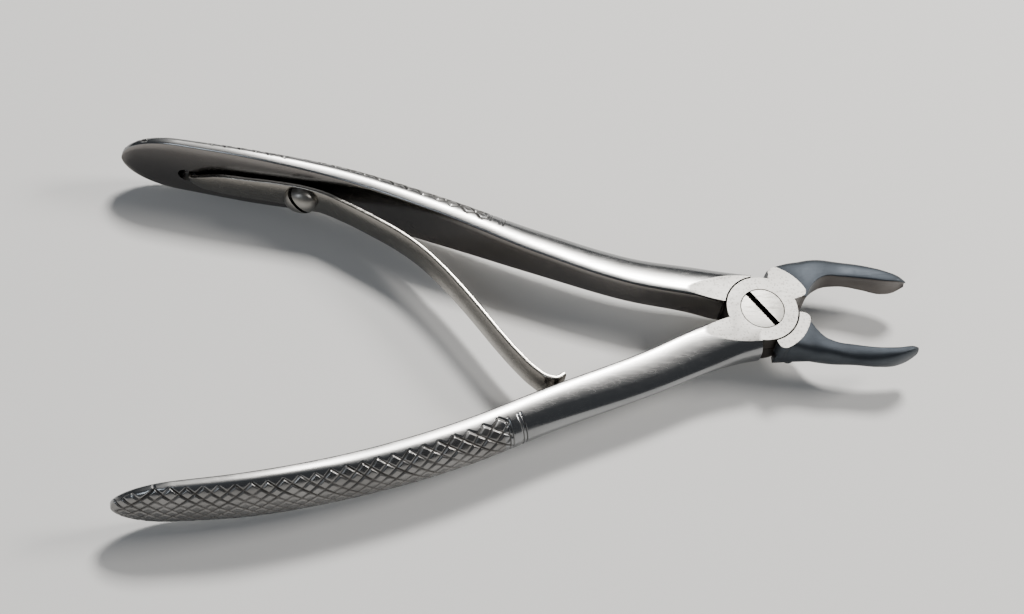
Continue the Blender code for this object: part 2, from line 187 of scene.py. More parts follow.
# Camera, set from the middle of the object's length in the joint's middle plane.
VIEW_TARGET = (-39.23, 2.57, 0.0)
VIEW_DISTANCE = 281.25
VIEW_ELEVATION = 58.41
VIEW_TURN = 15.54
VIEW_ROLL = -12.62
SENSOR_WIDTH = 36.0
FOCAL_LENGTH = 63.28125


# ---------------------------------------------------------------------------
# Curves and meshes
# ---------------------------------------------------------------------------

def smooth_curve(stations, values, at):
    """Cubic Hermite curve through the values, with slopes taken from their neighbours."""
    stations = np.asarray(stations, float)
    values = np.asarray(values, float)
    slopes = np.gradient(values, stations, axis=0)
    place = np.clip(np.searchsorted(stations, at, side="right") - 1, 0, len(stations) - 2)
    width = stations[place + 1] - stations[place]
    t = (at - stations[place]) / width
    if values.ndim > 1:
        t = t[:, None]
        width = width[:, None]
    start = (2 * t**3 - 3 * t**2 + 1) * values[place]
    leave = (t**3 - 2 * t**2 + t) * width * slopes[place]
    end = (3 * t**2 - 2 * t**3) * values[place + 1]
    arrive = (t**3 - t**2) * width * slopes[place + 1]
    return start + leave + end + arrive


def ramp(value, low, high):
    """Smooth step from 0 at low to 1 at high."""
    t = np.clip((value - low) / (high - low), 0.0, 1.0)
    return t * t * (3.0 - 2.0 * t)


def left_of(path):
    """Unit vectors to the left of a path in the XY plane."""
    along = np.gradient(path, axis=0)
    along /= np.linalg.norm(along, axis=1)[:, None]
    return np.stack([-along[:, 1], along[:, 0]], axis=1)


def tube_mesh(name, points, start_cap=True, end_cap=True, masks=None):
    """A surface through rows of closed sections, points[row, around, xyz] in millimetres."""
    rows, around = points.shape[:2]
    index = np.arange(rows * around).reshape(rows, around)
    beside = np.roll(index, -1, axis=1)
    walls = np.stack([index[:-1], beside[:-1], beside[1:], index[1:]], axis=-1).reshape(-1, 4)
    faces = walls.tolist()
    if start_cap:
        faces.append(index[0][::-1].tolist())
    if end_cap:
        faces.append(index[-1].tolist())
    mesh = bpy.data.meshes.new(name)
    mesh.from_pydata((points.reshape(-1, 3) * MM).tolist(), [], faces)
    for mask_name, values in (masks or {}).items():
        attribute = mesh.attributes.new(mask_name, "FLOAT", "POINT")
        attribute.data.foreach_set("value", values.reshape(-1).astype(np.float32))
    if signed_volume(points) < 0.0:
        mesh.flip_normals()
    piece = bpy.data.objects.new(name, mesh)
    bpy.context.scene.collection.objects.link(piece)
    return piece


def signed_volume(points):
    """Twice-summed cross products of the walls: positive where rows and turns wind outwards."""
    a = points[:-1]
    b = np.roll(points, -1, axis=1)[:-1]
    c = np.roll(points, -1, axis=1)[1:]
    d = points[1:]
    middle = points.reshape(-1, 3).mean(axis=0)
    normal = np.cross(c - a, d - b)
    return float(np.einsum("ijk,ijk->", normal, 0.25 * (a + b + c + d) - middle))


def cylinder(name, radius, low, high, steps=96):
    """An upright round bar on the pivot axis: one circle carried from the low to the high end."""
    turn = np.linspace(0.0, 2.0 * math.pi, steps, endpoint=False)
    ring = np.stack([radius * np.cos(turn), radius * np.sin(turn)], axis=1)
    points = np.stack([np.column_stack([ring, np.full(steps, z)]) for z in (low, high)])
    return tube_mesh(name, points)


def prism(name, outline, low, high):
    """A flat outline in XY carried from one height to another."""
    outline = np.asarray(outline, float)
    points = np.stack([np.column_stack([outline, np.full(len(outline), z)]) for z in (low, high)])
    return tube_mesh(name, points)


def rectangle(width, depth, centre=(0.0, 0.0)):
    """The four corners of a rectangle."""
    corners = np.array([(-0.5, -0.5), (0.5, -0.5), (0.5, 0.5), (-0.5, 0.5)])
    return corners * (width, depth) + centre


def combine(target, tool, operation):
    """Apply one exact Boolean and remove the tool."""
    modifier = target.modifiers.new("boolean", "BOOLEAN")
    modifier.operation = operation
    modifier.solver = "EXACT"
    modifier.object = tool
    bpy.context.view_layer.update()
    result = bpy.data.meshes.new_from_object(
        target.evaluated_get(bpy.context.evaluated_depsgraph_get())
    )
    target.modifiers.clear()
    target.data = result
    bpy.data.objects.remove(tool, do_unlink=True)
    return target


def finish_piece(piece, material, body, sharp_angle=32.0):
    """Shade a finished mesh, give it its material and let it ride on its body."""
    piece.data.materials.clear()
    piece.data.materials.append(material)
    piece.data.shade_smooth()
    piece.data.set_sharp_from_angle(angle=math.radians(sharp_angle))
    if body:
        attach(piece, body)
    return piece


def raise_to_frame(piece):
    """Move a mesh from the joint's middle plane to its place in the frame."""
    piece.data.transform(Matrix.Translation(PIVOT))
    return piece


# ---------------------------------------------------------------------------
# The two forgings
# ---------------------------------------------------------------------------

def forged_section(half_width, thickness, side_band, squareness, outer_steps, spoon=0.0):
    """Depth and height round one section.

    The outer side is a superellipse of the section's squareness that starts after a flat side
    band. The inner side is flat, or hollowed as a parabola by the spoon depth, and meets the
    bands in quarter-round edges.
    """
    turn = np.linspace(0.0, math.pi, outer_steps)
    power = 2.0 / squareness
    cosine = np.cos(turn)
    height = half_width * np.sign(cosine) * np.abs(cosine) ** power
    band = side_band * thickness
    depth = band + (thickness - band) * np.abs(np.sin(turn)) ** power
    radius = min(EDGE_ROUNDING, 0.35 * half_width, 0.3 * thickness)
    corner = np.linspace(0.0, 0.5 * math.pi, 6)[1:]
    low_edge_depth = radius * (1.0 - np.sin(corner))
    low_edge_height = -half_width + radius * (1.0 - np.cos(corner))
    flat = np.linspace(-1.0, 1.0, 8)[1:-1]
    inner_height = flat * (half_width - radius)
    inner_depth = spoon * (1.0 - flat**2)
    depth = np.r_[depth, low_edge_depth, inner_depth, low_edge_depth[::-1]]
    height = np.r_[height, low_edge_height, inner_height, -low_edge_height[::-1]]
    return depth, height


def handle_rounding(x):
    """How far a handle section has grown: a quarter circle over the end's rounding length."""
    reach = np.clip((x - HANDLE_END_X) / HANDLE_END_ROUNDING, 0.0, 1.0)
    return np.sqrt(np.clip(1.0 - (1.0 - reach) ** 2, 0.0004, 1.0))


def handle_points(gaps, widths, x, outer_steps):
    """Sections of a handle at -Y, square to its curved inner face."""
    path = np.stack([x, -smooth_curve(HANDLE_X, gaps, x)], axis=1)
    outward = -left_of(path)
    rounding = handle_rounding(x)
    half_width = (smooth_curve(HANDLE_X, widths, x) - BOX_MARGIN) * rounding
    full_thickness = smooth_curve(HANDLE_X, HANDLE_THICKNESS, x) - BOX_MARGIN
    thickness = full_thickness * (0.35 + 0.65 * rounding)
    squareness = smooth_curve(HANDLE_X, HANDLE_SQUARENESS, x)
    band = smooth_curve(HANDLE_X, HANDLE_SIDE_BAND, x)
    depths, heights = zip(*[
        forged_section(*size, outer_steps) for size in zip(half_width, thickness, band, squareness)
    ])
    depth = np.array(depths)
    height = np.array(heights)
    flat = path[:, None, :] + depth[:, :, None] * outward[:, None, :]
    return np.concatenate([flat, height[:, :, None]], axis=2)


def groove_profile(distance, width):
    """A rounded V: 1 on the groove's line, falling to 0 at half its width."""
    return np.clip(1.0 - np.abs(distance) / (0.5 * width), 0.0, 1.0) ** 0.8


def grip_pattern(x, around, half_arc, outer_steps):
    """Groove depth over the outer face, with masks of the grooves and of the gripped area.

    Two families of straight grooves cross at equal angles to the handle: the distance to a line
    is the distance of x / length +- around / width from a whole number. Sines of the line's
    number make each groove stray and vary in depth, as hand-cut ones do. A groove is cut where
    one of the two diamonds beside it has its centre inside the grip's share of the outer face,
    so the pattern ends in a zigzag. Two pairs of rings follow.
    """
    across = 1.0 / math.hypot(1.0 / DIAMOND_LENGTH, 1.0 / DIAMOND_WIDTH)
    phases = [x[:, None] / DIAMOND_LENGTH + sign * around / DIAMOND_WIDTH for sign in (1.0, -1.0)]
    grooves = np.zeros_like(around)
    for phase, other in (phases, phases[::-1]):
        sign = 1.0 if phase is phases[0] else -1.0
        line = np.round(phase)
        stray = GROOVE_STRAY * np.sin(2.4 * line + sign) + 0.5 * GROOVE_STRAY * np.sin(0.9 * other + line)
        strength = 0.82 + 0.18 * np.sin(1.7 * line * sign + 0.6 * other)
        cut = strength * groove_profile((phase - line) * across - stray, GROOVE_WIDTH)
        beside = np.floor(other) + 0.5
        inside = np.zeros(around.shape, bool)
        for middle in (line - 0.5, line + 0.5):
            centre_x = 0.5 * (middle + beside) * DIAMOND_LENGTH
            centre_around = 0.5 * sign * (middle - beside) * DIAMOND_WIDTH
            reach = GRIP_SHARE * np.interp(centre_x, x, half_arc)
            inside |= (
                (np.abs(centre_around) < reach) & (centre_x > GRIP_START_X) & (centre_x < GRIP_END_X)
            )
        grooves = np.maximum(grooves, cut * inside)
    rings = np.zeros_like(around)
    for ring_x in RING_X:
        rings = np.maximum(rings, groove_profile(x[:, None] - ring_x, RING_WIDTH))
    share = np.abs(around) / half_arc[:, None]
    rings = rings * (1.0 - ramp(share, GRIP_SHARE - 0.05, GRIP_SHARE + 0.05))
    depth = np.maximum(grooves * GROOVE_DEPTH, rings * RING_DEPTH)
    grip = (1.0 - ramp(share, GRIP_SHARE - 0.08, GRIP_SHARE + 0.08)) * (x < GRIP_END_X)[:, None]
    masks = {"groove": np.maximum(grooves, 0.8 * rings), "grip": grip}
    for values in (depth, *masks.values()):
        values[:, outer_steps:] = 0.0
    return depth, masks


def cut_grip(points, outer_steps):
    """Lower the outer face along its normals by the grip pattern."""
    x = points[:, 0, 0]
    along = np.gradient(points, axis=0)
    round_way = np.roll(points, -1, axis=1) - np.roll(points, 1, axis=1)
    normal = np.cross(along, round_way)
    normal /= np.linalg.norm(normal, axis=2)[:, :, None] + 1e-9
    centre = points.mean(axis=1)[:, None, :]
    outwards = np.sign(np.einsum("ijk,ijk->ij", normal, points - centre).mean())
    steps = np.linalg.norm(np.diff(points[:, :outer_steps], axis=1), axis=2)
    run = np.concatenate([np.zeros((len(points), 1)), np.cumsum(steps, axis=1)], axis=1)
    half_arc = 0.5 * run[:, -1]
    run = run - half_arc[:, None]
    around = np.full(points.shape[:2], 99.0)
    around[:, :outer_steps] = run
    depth, masks = grip_pattern(x, around, half_arc, outer_steps)
    return points - outwards * depth[:, :, None] * normal, masks


def grip_piece(name, gaps, widths):
    """The handle from its free end to the join, with the grip pattern cut in its outer face."""
    ease = 1.0 - np.cos(np.linspace(0.0, 0.5 * math.pi, 40))
    end_x = HANDLE_END_X + 0.5 * HANDLE_END_ROUNDING * ease
    x = np.r_[
        end_x[:-1],
        np.linspace(end_x[-1], GRIP_PIECE_END_X, 480),
        np.linspace(GRIP_PIECE_END_X + 0.3, HANDLE_JOIN_X, 40),
    ]
    points, masks = cut_grip(handle_points(gaps, widths, x, OUTER_STEPS), OUTER_STEPS)
    return tube_mesh(name, points, end_cap=False, masks=masks)


def root_piece(name, gaps, widths):
    """The handle from the join to just past the joint's flank."""
    x = np.linspace(HANDLE_JOIN_X, HANDLE_ROOT_X, 30)
    return tube_mesh(name, handle_points(gaps, widths, x, OUTER_STEPS))


def lower_neck(points):
    """Bring the beak's top and bottom below the joint's flats outside the shoulder.

    The height z becomes z / (1 + |z / limit|^n)^(1/n). The limit is the flats' height at the
    shoulder's radius and falls by the neck's drop as tanh of the distance beyond it.
    """
    reach = np.hypot(points[:, :, 0], points[:, :, 1])
    fall = NECK_DROP * np.tanh((reach - SHOULDER_RADIUS) / NECK_LENGTH)
    limit = JOINT_HALF_THICKNESS + 0.1 - fall
    height = points[:, :, 2]
    squeeze = (1.0 + np.abs(height / limit) ** NECK_SOFTNESS) ** (1.0 / NECK_SOFTNESS)
    points[:, :, 2] = height / squeeze
    return points


def beak_piece(name, inner, outer, tip_x):
    """The beak from the joint's shoulder to its rounded spoon tip."""
    ease = np.sin(np.linspace(0.0, 0.5 * math.pi, 34))
    x = np.r_[
        np.linspace(BEAK_X[0], 7.5, 10)[:-1],
        np.linspace(7.5, 13.0, 26)[:-1],
        13.0 + (tip_x - 13.0) * ease,
    ]
    near = smooth_curve(BEAK_X, inner, x)
    far = smooth_curve(BEAK_X, outer, x)
    half_width = smooth_curve(BEAK_X, BEAK_HALF_WIDTH, x)
    hollow = SPOON_DEPTH * ramp(x, SPOON_START_X, SPOON_START_X + 6.0)
    rows = []
    for place, start, end, width, spoon in zip(x, near, far, half_width, hollow):
        depth, height = forged_section(width, end - start, BEAK_SIDE_BAND, BEAK_SQUARENESS, 40, spoon)
        rows.append(np.column_stack([np.full_like(depth, place), start + depth, height]))
    return tube_mesh(name, lower_neck(np.array(rows)))


def sector(shoulder_radius, angles):
    """A pie slice with its outer corners rounded as quarter circles."""
    sweep = np.radians(np.linspace(*angles, 60))
    to_end = shoulder_radius * np.minimum(sweep - sweep[0], sweep[-1] - sweep)
    inside = 1.0 - np.clip(to_end / SHOULDER_CORNER, 0.0, 1.0)
    radius = shoulder_radius - SHOULDER_CORNER * (1.0 - np.sqrt(1.0 - inside**2))
    rim = radius[:, None] * np.stack([np.cos(sweep), np.sin(sweep)], axis=1)
    return np.vstack([[[0.0, 0.0]], rim])


def forged_half(name, gaps, widths, ear_angles, crescent_angles, beak):
    """One forging with its handle at -Y, its lap on the +Z side and its beak at +Y."""
    edge = JOINT_HALF_THICKNESS
    over = edge + 1.0
    half = root_piece(name, gaps, widths)
    combine(half, cylinder("lap", LAP_RADIUS, -over, over), "UNION")
    combine(half, prism("ear", sector(EAR_RADIUS, ear_angles), 0.0, over), "UNION")
    combine(half, prism("crescent", sector(SHOULDER_RADIUS, crescent_angles), -over, 0.0), "UNION")
    combine(half, beak, "UNION")
    recess = cylinder("recess", LAP_RADIUS + LAP_GAP, -2.0 * edge, 0.5 * LAP_MIDDLE_GAP)
    combine(half, recess, "DIFFERENCE")
    combine(half, prism("flats", rectangle(60.0, 60.0, (12.0, 0.0)), -edge, edge), "INTERSECT")
    return half


def weld(first, second, name):
    """Join a half to its grip and merge the ring of points that they share."""
    joined = bmesh.new()
    joined.from_mesh(first.data)
    cap = [f for f in joined.faces if len(f.verts) > 60 and f.normal.x < -0.5]
    bmesh.ops.delete(joined, geom=cap, context="FACES_ONLY")
    joined.from_mesh(second.data)
    bmesh.ops.remove_doubles(joined, verts=joined.verts, dist=0.000004)
    mesh = bpy.data.meshes.new(name)
    joined.to_mesh(mesh)
    joined.free()
    bpy.data.objects.remove(second, do_unlink=True)
    first.data = mesh
    return first


def mark_finishes(piece):
    """Write the mask of the satin beak: 0 on the lap and the handle, 1 from the recess outwards."""
    count = len(piece.data.vertices)
    places = np.empty(count * 3, np.float32)
    piece.data.vertices.foreach_get("co", places)
    places = places.reshape(-1, 3) / MM
    reach = np.hypot(places[:, 0], places[:, 1])
    beak = ramp(reach, LAP_RADIUS + 0.3, LAP_RADIUS + 0.6) * (places[:, 0] > 0.0)
    attribute = piece.data.attributes.new("beak", "FLOAT", "POINT")
    attribute.data.foreach_set("value", beak.astype(np.float32))
    return piece


def tang_hole():
    """A cutter for the round hole that takes the spring's bent end, square to the inner face."""
    face = float(smooth_curve(HANDLE_X, SPRING_HANDLE_GAP, np.array([TANG_HOLE_X]))[0])
    cutter = cylinder("tang_hole", TANG_HOLE_RADIUS, -TANG_HOLE_DEPTH, TANG_HOLE_DEPTH, 48)
    cutter.data.transform(Matrix.Rotation(0.5 * math.pi, 4, "X"))
    middle = Vector((TANG_HOLE_X, face, SPRING_MIDDLE_HEIGHT[0]))
    cutter.data.transform(Matrix.Translation(middle * MM))
    return cutter


def make_halves(material):
    """Both forgings, drilled for their screws and welded to their grips."""
    edge = JOINT_HALF_THICKNESS
    front = forged_half(
        "plain_half", PLAIN_HANDLE_GAP, PLAIN_HANDLE_HALF_WIDTH, PLAIN_EAR_ANGLES,
        PLAIN_CRESCENT_ANGLES, beak_piece("beak", PLAIN_BEAK_INNER, PLAIN_BEAK_OUTER, BEAK_X[-1]),
    )
    head_seat = edge - SCREW_HEAD_HEIGHT - 0.2
    combine(front, cylinder("head_room", SCREW_HEAD_RADIUS + SCREW_GAP, head_seat, 2 * edge), "DIFFERENCE")
    combine(front, cylinder("bore", SCREW_SHANK_RADIUS + 0.2, -edge, edge), "DIFFERENCE")
    weld(front, grip_piece("grip", PLAIN_HANDLE_GAP, PLAIN_HANDLE_HALF_WIDTH), "plain_half")

    back = forged_half(
        "spring_half", SPRING_HANDLE_GAP, SPRING_HANDLE_HALF_WIDTH, SPRING_EAR_ANGLES,
        SPRING_CRESCENT_ANGLES, beak_piece("beak", SPRING_BEAK_INNER, SPRING_BEAK_OUTER, SPRING_TIP_X),
    )
    combine(back, cylinder("thread", SCREW_SHANK_RADIUS + SCREW_GAP, -2 * edge, 2 * edge), "DIFFERENCE")
    weld(back, grip_piece("grip", SPRING_HANDLE_GAP, SPRING_HANDLE_HALF_WIDTH), "spring_half")
    back.data.transform(Matrix.Rotation(math.pi, 4, "X"))
    combine(back, tang_hole(), "DIFFERENCE")

    for piece, body, node in (
        (front, "plain_half", "plain_handle_half"), (back, "spring_half", "spring_handle_half"),
    ):
        mark_finishes(piece)
        finish_piece(raise_to_frame(piece), material, body)
        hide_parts(node)


# ---------------------------------------------------------------------------
# Screws and spring
# ---------------------------------------------------------------------------

def turned(name, profile, steps=96):
    """A profile of (radius, height) pairs carried round the Z axis."""
    turn = np.linspace(0.0, 2.0 * math.pi, steps, endpoint=False)
    radius = np.array([p[0] for p in profile])[:, None]
    height = np.array([p[1] for p in profile])[:, None]
    points = np.stack(
        [radius * np.cos(turn), radius * np.sin(turn), height + 0.0 * turn], axis=2
    )
    return tube_mesh(name, points)


def quarter_round(radius, height, rounding, steps=6):
    """Points of a rounded top edge, from its top to its side."""
    a = np.linspace(0.0, 0.5 * math.pi, steps)
    return [(radius - rounding * (1.0 - math.sin(t)), height - rounding * (1.0 - math.cos(t))) for t in a]


def mark_slot(screw, width, angle, top):
    """Mark the faces of a slot: within half its width of its middle line, below the top."""
    mesh = screw.data
    centres = np.empty(len(mesh.polygons) * 3, np.float32)
    mesh.polygons.foreach_get("center", centres)
    centres = centres.reshape(-1, 3) / MM
    across = centres[:, 0] * math.cos(math.radians(angle)) + centres[:, 1] * math.sin(math.radians(angle))
    inside = (np.abs(across) < 0.5 * width + 0.02) & (centres[:, 2] < top - 0.05)
    attribute = mesh.attributes.new("slot", "FLOAT", "FACE")
    attribute.data.foreach_set("value", inside.astype(np.float32))


def make_pivot_screw(material):
    """The flat slotted head in its seat, and the thread's end at the back."""
    edge = JOINT_HALF_THICKNESS
    top = edge - 0.03
    profile = [(0.02, top)] + quarter_round(SCREW_HEAD_RADIUS, top, 0.12)
    under_head = edge - SCREW_HEAD_HEIGHT
    profile += [(SCREW_HEAD_RADIUS, under_head), (SCREW_SHANK_RADIUS, under_head)]
    profile += [(SCREW_SHANK_RADIUS, -edge + 0.1), (SCREW_SHANK_RADIUS - 0.1, -edge), (0.02, -edge)]
    screw = turned("pivot_screw_detailed", profile)
    opening = rectangle(SCREW_SLOT_WIDTH, 3 * SCREW_HEAD_RADIUS)
    slot = prism("slot", opening, edge - SCREW_SLOT_DEPTH, edge + 1)
    slot.data.transform(Matrix.Rotation(math.radians(SCREW_SLOT_ANGLE - 90.0), 4, "Z"))
    combine(screw, slot, "DIFFERENCE")
    mark_slot(screw, SCREW_SLOT_WIDTH, SCREW_SLOT_ANGLE - 90.0, edge)
    finish_piece(raise_to_frame(screw), material, "spring_half")
    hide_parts("pivot_screw")


def spring_screw_frame():
    """The place on the inner face where the spring screw sits, with +Z out of that face."""
    x = np.array([SPRING_SCREW_X - 0.5, SPRING_SCREW_X, SPRING_SCREW_X + 0.5])
    path = np.stack([x, smooth_curve(HANDLE_X, SPRING_HANDLE_GAP, x)], axis=1)
    side = -left_of(path)[1]
    out = Vector((side[0], side[1], 0.0))
    up = Vector((0.0, 0.0, 1.0))
    turn = Matrix((up.cross(out), up, out)).transposed().to_4x4()
    place = Vector((path[1][0], path[1][1], SPRING_SCREW_HEIGHT)) * MM
    return Matrix.Translation(place) @ turn


def make_spring_screw(material):
    """The domed slotted screw."""
    radius = SPRING_SCREW_HEAD_RADIUS
    rise = 1.4
    dome = [
        (0.02 + (radius - 0.02) * math.sin(a), rise * math.cos(a) - rise)
        for a in np.linspace(0.0, 0.5 * math.pi, 14)
    ]
    base = -SPRING_SCREW_HEAD_HEIGHT
    stem = base - SPRING_SCREW_LIFT - SPRING_SCREW_DEPTH
    shank = SPRING_SCREW_SHANK_RADIUS
    profile = dome + [(radius, base), (shank, base), (shank, stem), (0.02, stem)]
    screw = turned("spring_screw_detailed", profile, 64)
    slot = prism("slot", rectangle(SPRING_SCREW_SLOT_WIDTH, 3 * radius), -SPRING_SCREW_SLOT_DEPTH, 1.0)
    slot.data.transform(Matrix.Rotation(math.radians(SPRING_SCREW_SLOT_ANGLE), 4, "Z"))
    combine(screw, slot, "DIFFERENCE")
    mark_slot(screw, SPRING_SCREW_SLOT_WIDTH, SPRING_SCREW_SLOT_ANGLE, 0.0)
    lift = (SPRING_SCREW_LIFT + SPRING_SCREW_HEAD_HEIGHT) * MM
    screw.data.transform(spring_screw_frame() @ Matrix.Translation((0.0, 0.0, lift)))
    finish_piece(raise_to_frame(screw), material, "spring_half")
    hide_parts("spring_screw")


def strip_section(half_width):
    """A flat strip's section with quarter-round edges, as (across, height) pairs."""
    half = 0.5 * SPRING_THICKNESS
    edge = min(SPRING_EDGE_ROUNDING, 0.4 * half_width)
    a = np.linspace(0.0, 0.5 * math.pi, 4)
    corner = np.stack([half - edge + edge * np.sin(a), half_width - edge + edge * np.cos(a)], axis=1)
    right = np.vstack([corner, (corner * (1, -1))[::-1]])
    left = -right
    return np.vstack([right, left])


def make_leaf_spring(material):
    """The bent strip: its section carried along the path from the tang to the curled tip."""
    points = np.asarray(SPRING_PATH)
    length = np.r_[0.0, np.cumsum(np.linalg.norm(np.diff(points, axis=0), axis=1))]
    at = np.linspace(0.0, length[-1], 420)
    path = smooth_curve(length, points, at)
    half_width = smooth_curve(length, SPRING_HALF_WIDTH, at)
    side = left_of(path)
    sections = np.array([strip_section(width) for width in half_width])
    flat = path[:, None, :] + sections[:, :, :1] * side[:, None, :]
    height = sections[:, :, 1:] + smooth_curve(length, SPRING_MIDDLE_HEIGHT, at)[:, None, None]
    spring = tube_mesh("leaf_spring_strip", np.concatenate([flat, height], axis=2))
    finish_piece(raise_to_frame(spring), material, None)
    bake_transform(spring)
    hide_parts("leaf_spring")


# ---------------------------------------------------------------------------
# Materials
# ---------------------------------------------------------------------------

class Nodes:
    """Short calls for adding and linking nodes in one tree."""

    def __init__(self, tree):
        self.tree = tree

    def add(self, kind, **values):
        """Add a node; names that match an attribute set it, the rest set inputs by name."""
        node = self.tree.nodes.new(kind)
        for name, value in values.items():
            if hasattr(node, name):
                setattr(node, name, value)
            else:
                node.inputs[name.replace("_", " ")].default_value = value
        return node

    def link(self, source, target):
        """Link an output socket to an input socket."""
        self.tree.links.new(source, target)
        return target

    def math(self, operation, first, second=None, clamp=False):
        """A Math node on sockets or numbers."""
        node = self.add("ShaderNodeMath", operation=operation, use_clamp=clamp)
        for slot, value in enumerate((first, second)):
            if value is None:
                continue
            if hasattr(value, "links"):
                self.link(value, node.inputs[slot])
            else:
                node.inputs[slot].default_value = value
        return node.outputs[0]

    def ramp(self, value, low, high, start=0.0, end=1.0):
        """A clamped linear map of a socket."""
        node = self.add("ShaderNodeMapRange", clamp=True)
        self.link(value, node.inputs["Value"])
        node.inputs["From Min"].default_value = low
        node.inputs["From Max"].default_value = high
        node.inputs["To Min"].default_value = start
        node.inputs["To Max"].default_value = end
        return node.outputs["Result"]

    def mix(self, factor, first, second):
        """A colour mix of two sockets or colours."""
        node = self.add("ShaderNodeMix", data_type="RGBA")
        for socket, value in ((node.inputs[0], factor), (node.inputs[6], first), (node.inputs[7], second)):
            if hasattr(value, "links"):
                self.link(value, socket)
            elif isinstance(value, tuple):
                socket.default_value = (*value, 1.0)
            else:
                socket.default_value = value
        return node.outputs[2]


def worn_metal_group():
    """Fine scratches, handling haze and small pits, from the piece's own coordinates."""
    group = bpy.data.node_groups.new("worn metal", "ShaderNodeTree")
    group.interface.new_socket("Coordinates", in_out="INPUT", socket_type="NodeSocketVector")
    for name, value in (("Scratch Scale", 700.0), ("Pit Scale", 2600.0)):
        socket = group.interface.new_socket(name, in_out="INPUT", socket_type="NodeSocketFloat")
        socket.default_value = value
    for name in ("Scratches", "Haze", "Pits"):
        group.interface.new_socket(name, in_out="OUTPUT", socket_type="NodeSocketFloat")
    nodes = Nodes(group)
    entry = nodes.add("NodeGroupInput")
    leave = nodes.add("NodeGroupOutput")

    scratches = None
    for turn, stretch in ((0.35, (0.05, 1.0, 1.0)), (-0.55, (0.07, 1.0, 1.0)), (1.35, (0.06, 1.0, 1.0))):
        mapping = nodes.add("ShaderNodeMapping")
        mapping.inputs["Rotation"].default_value = (0.2, 0.15, turn)
        mapping.inputs["Scale"].default_value = stretch
        nodes.link(entry.outputs["Coordinates"], mapping.inputs["Vector"])
        noise = nodes.add("ShaderNodeTexNoise", Detail=3.0, Roughness=0.55)
        nodes.link(mapping.outputs[0], noise.inputs["Vector"])
        nodes.link(entry.outputs["Scratch Scale"], noise.inputs["Scale"])
        line = nodes.math("ABSOLUTE", nodes.math("SUBTRACT", noise.outputs["Fac"], 0.5))
        thin = nodes.ramp(line, 0.0, 0.012, 1.0, 0.0)
        scratches = thin if scratches is None else nodes.math("MAXIMUM", scratches, thin)
    nodes.link(scratches, leave.inputs["Scratches"])

    haze = nodes.add("ShaderNodeTexNoise", Scale=95.0, Detail=5.0, Roughness=0.6)
    nodes.link(entry.outputs["Coordinates"], haze.inputs["Vector"])
    nodes.link(nodes.ramp(haze.outputs["Fac"], 0.35, 0.7), leave.inputs["Haze"])

    pits = nodes.add("ShaderNodeTexVoronoi", Randomness=1.0)
    nodes.link(entry.outputs["Coordinates"], pits.inputs["Vector"])
    nodes.link(entry.outputs["Pit Scale"], pits.inputs["Scale"])
    nodes.link(nodes.ramp(pits.outputs["Distance"], 0.15, 0.42, 1.0, 0.0), leave.inputs["Pits"])
    return group


def metal_base(name, roughness):
    """A bare metal material and its shader."""
    material = bpy.data.materials.new(name)
    material.use_nodes = True
    shader = material.node_tree.nodes["Principled BSDF"]
    shader.inputs["Metallic"].default_value = 1.0
    shader.inputs["Roughness"].default_value = roughness
    return material, shader, Nodes(material.node_tree)


def place_group(nodes, group, scratch_scale, pit_scale):
    """Put the worn metal group into a material, on Object coordinates."""
    coordinates = nodes.add("ShaderNodeTexCoord")
    worn = nodes.add("ShaderNodeGroup", node_tree=group)
    nodes.link(coordinates.outputs["Object"], worn.inputs["Coordinates"])
    worn.inputs["Scratch Scale"].default_value = scratch_scale
    worn.inputs["Pit Scale"].default_value = pit_scale
    return coordinates, worn


def bump(nodes, shader, height, strength, distance):
    """Feed a height to the shader's normal."""
    node = nodes.add("ShaderNodeBump")
    node.inputs["Strength"].default_value = strength
    node.inputs["Distance"].default_value = distance
    nodes.link(height, node.inputs["Height"])
    nodes.link(node.outputs["Normal"], shader.inputs["Normal"])


